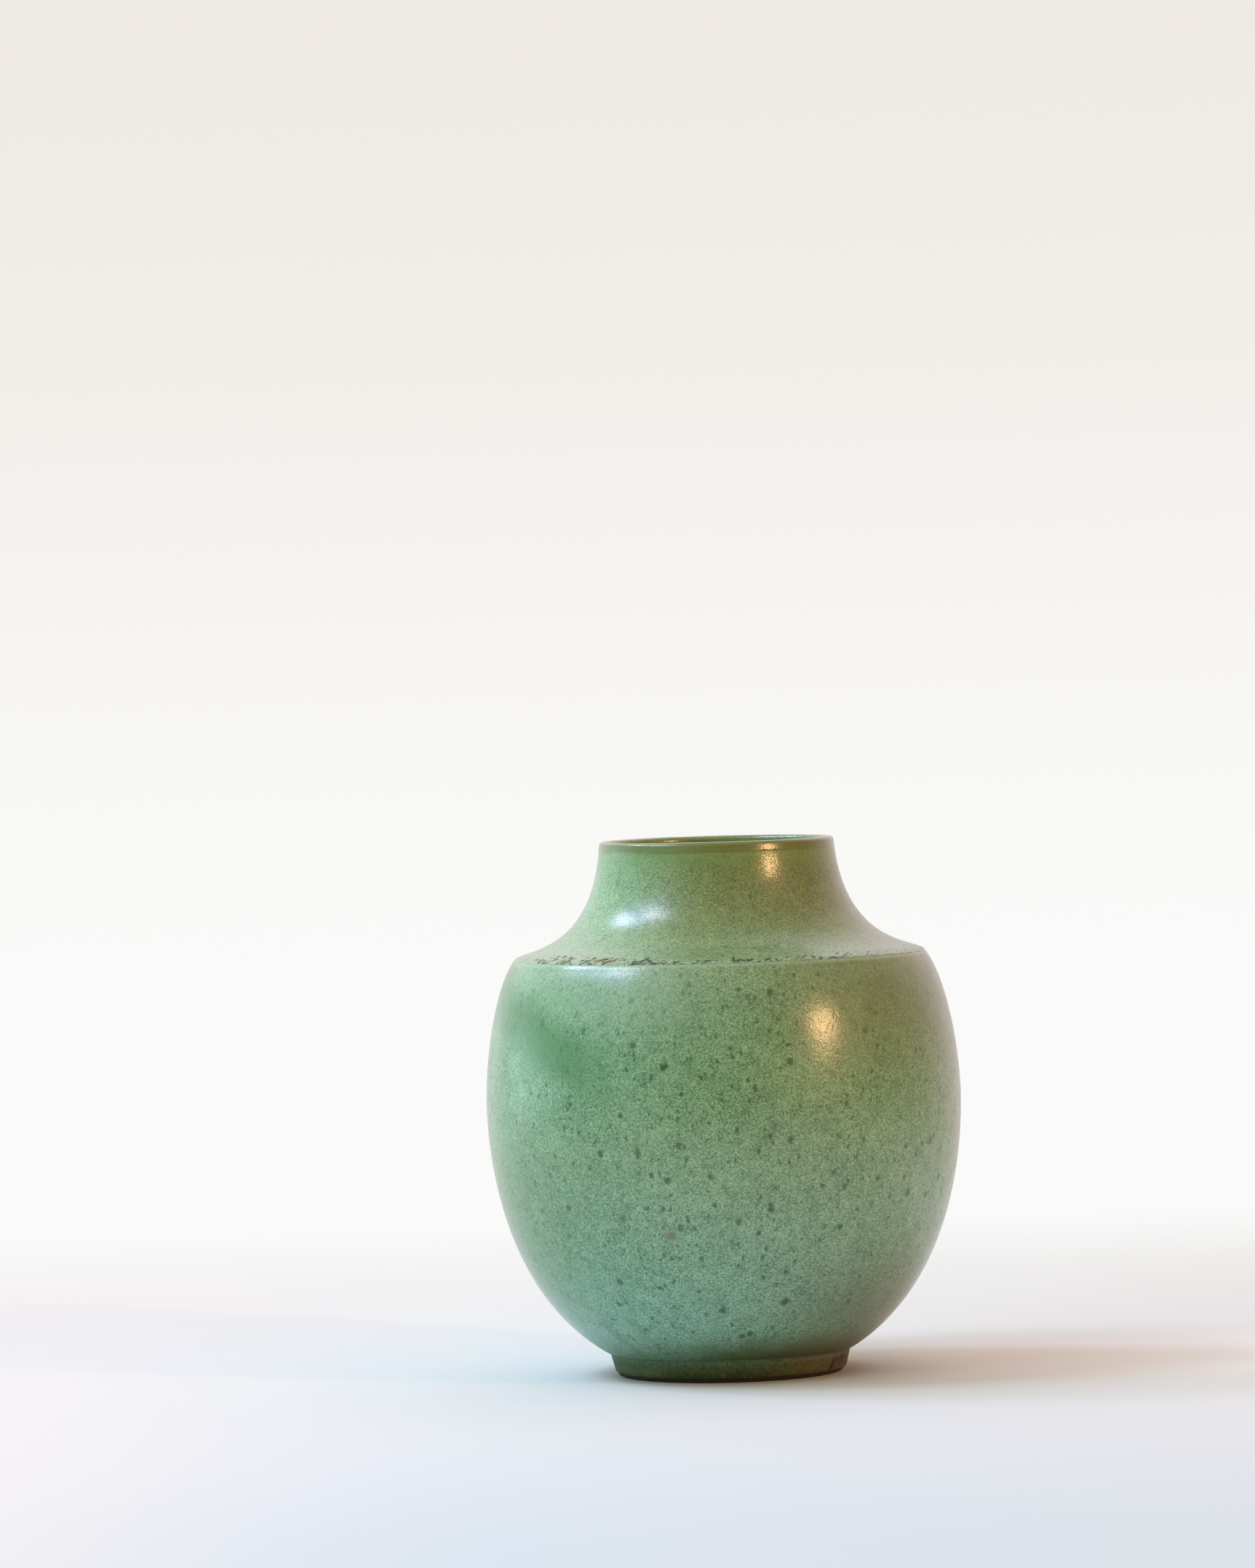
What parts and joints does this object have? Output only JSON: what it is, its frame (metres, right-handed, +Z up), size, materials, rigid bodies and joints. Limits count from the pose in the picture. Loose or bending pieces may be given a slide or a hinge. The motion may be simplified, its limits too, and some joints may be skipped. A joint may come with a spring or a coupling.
{
  "type": "shouldered vase",
  "caption": "Wide-mouthed stoneware vase with a round belly, a crisp flat shoulder, a short flared neck and a low foot ring, in speckled green glaze.",
  "frame": {"origin": "centre of the foot's resting face, on the surface that the vase stands on", "axes": "+Z up along the axis the vase was turned on, from the foot to the mouth; +X and +Y are any two square directions across it"},
  "size_m": [0.18, 0.18, 0.203],
  "materials": {
    "bare_clay": "matte",
    "clay_body": "matte",
    "clay_neck": "matte",
    "foot_glaze": "satin",
    "belly_glaze": "gloss",
    "shoulder_glaze": "gloss",
    "rim_glaze": "gloss",
    "liner_glaze": "gloss"
  },
  "bodies": {
    "root": {"foot_ring": "bare_clay", "belly_section": "clay_body", "shoulder_neck_section": "clay_neck", "foot_glaze": "foot_glaze", "belly_glaze": "belly_glaze", "shoulder_glaze": "shoulder_glaze", "rim_glaze": "rim_glaze", "liner_glaze": "liner_glaze"}
  },
  "joints": []
}
